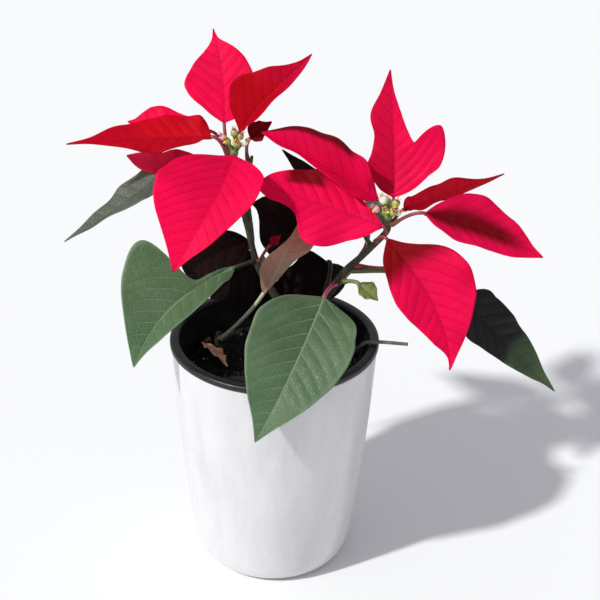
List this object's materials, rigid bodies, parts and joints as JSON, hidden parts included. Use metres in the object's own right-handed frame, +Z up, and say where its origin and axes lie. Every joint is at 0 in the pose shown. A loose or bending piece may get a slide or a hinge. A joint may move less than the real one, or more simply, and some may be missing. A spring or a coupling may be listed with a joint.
{
  "type": "poinsettia plant in a pot",
  "caption": "Potted poinsettia with red bracts round green cyathia, broad green leaves, forked stem, black growing pot and white cachepot.",
  "frame": {"origin": "middle of the cachepot's flat foot, on the floor", "axes": "+Z up, -Y towards the front that the picture shows, +X to the right"},
  "size_m": [0.2888, 0.159, 0.3209],
  "materials": {
    "white_glaze": "smooth white glaze",
    "black_plastic": "satin black",
    "potting_soil": "loose dark peat and bark",
    "green_brown_stem": "matt green-brown bark",
    "red_bract": "soft satin red",
    "green_leaf": "soft satin green with pale veins",
    "green_cyathium": "waxy pale green with yellow and pink tips",
    "dried_leaf_brown": "dry matt brown"
  },
  "bodies": {
    "root": {"cachepot": "white_glaze", "dried_leaf": "dried_leaf_brown", "fallen_petiole": "dried_leaf_brown", "leaf_back": "green_leaf", "leaf_back_left": "green_leaf", "leaf_back_left_upper": "green_leaf", "leaf_back_right": "green_leaf", "leaf_back_right_upper": "green_leaf", "leaf_far_left": "green_leaf", "leaf_front": "green_leaf", "leaf_left": "green_leaf", "leaf_olive": "green_leaf", "leaf_right": "green_leaf", "leaf_shade_centre": "green_leaf", "leaf_shade_left": "green_leaf", "leaf_shade_lower": "green_leaf", "leaf_shade_upper": "green_leaf", "leaf_small_right": "green_leaf", "leaf_young_red": "red_bract", "left_bract_behind": "red_bract", "left_bract_front": "red_bract", "left_bract_long": "red_bract", "left_bract_right": "red_bract", "left_bract_under": "red_bract", "left_bract_up": "red_bract", "left_bract_upper_right": "red_bract", "left_cyathia": "green_cyathium", "nursery_pot": "black_plastic", "right_bract_front": "red_bract", "right_bract_left": "red_bract", "right_bract_long": "red_bract", "right_bract_lower": "red_bract", "right_bract_small": "red_bract", "right_bract_up": "red_bract", "right_cyathia": "green_cyathium", "shoot": "green_brown_stem", "soil": "potting_soil", "stem": "green_brown_stem"}
  },
  "joints": []
}
